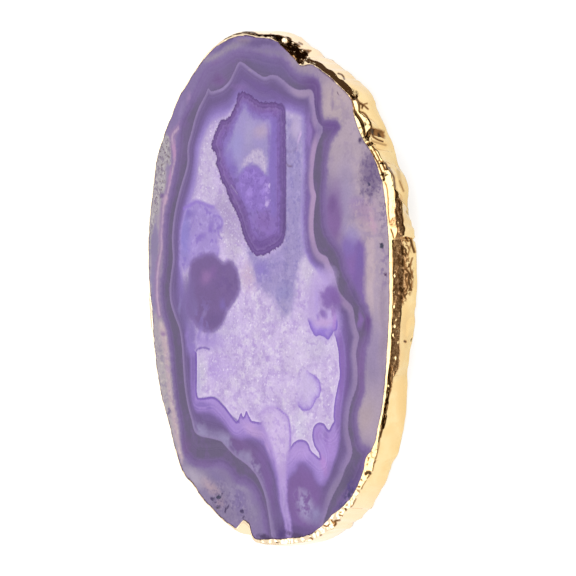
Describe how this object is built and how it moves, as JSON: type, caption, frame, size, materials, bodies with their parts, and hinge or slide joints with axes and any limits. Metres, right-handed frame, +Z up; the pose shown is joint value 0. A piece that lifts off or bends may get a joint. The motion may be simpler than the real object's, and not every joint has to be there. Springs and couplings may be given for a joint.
{
  "type": "agate coaster",
  "caption": "Flat polished slice of banded agate with a gilded natural edge, to stand a cup or a glass on.",
  "frame": {"origin": "on the table, under the middle of the coaster", "axes": "+Z up, out of the polished face; +Y along the slice; +X across it"},
  "size_m": [0.0793, 0.1035, 0.0056],
  "materials": {
    "agate": "polished",
    "gilding": "polished"
  },
  "bodies": {
    "root": {"agate_slice": "agate", "gilded_band": "gilding"}
  },
  "joints": []
}
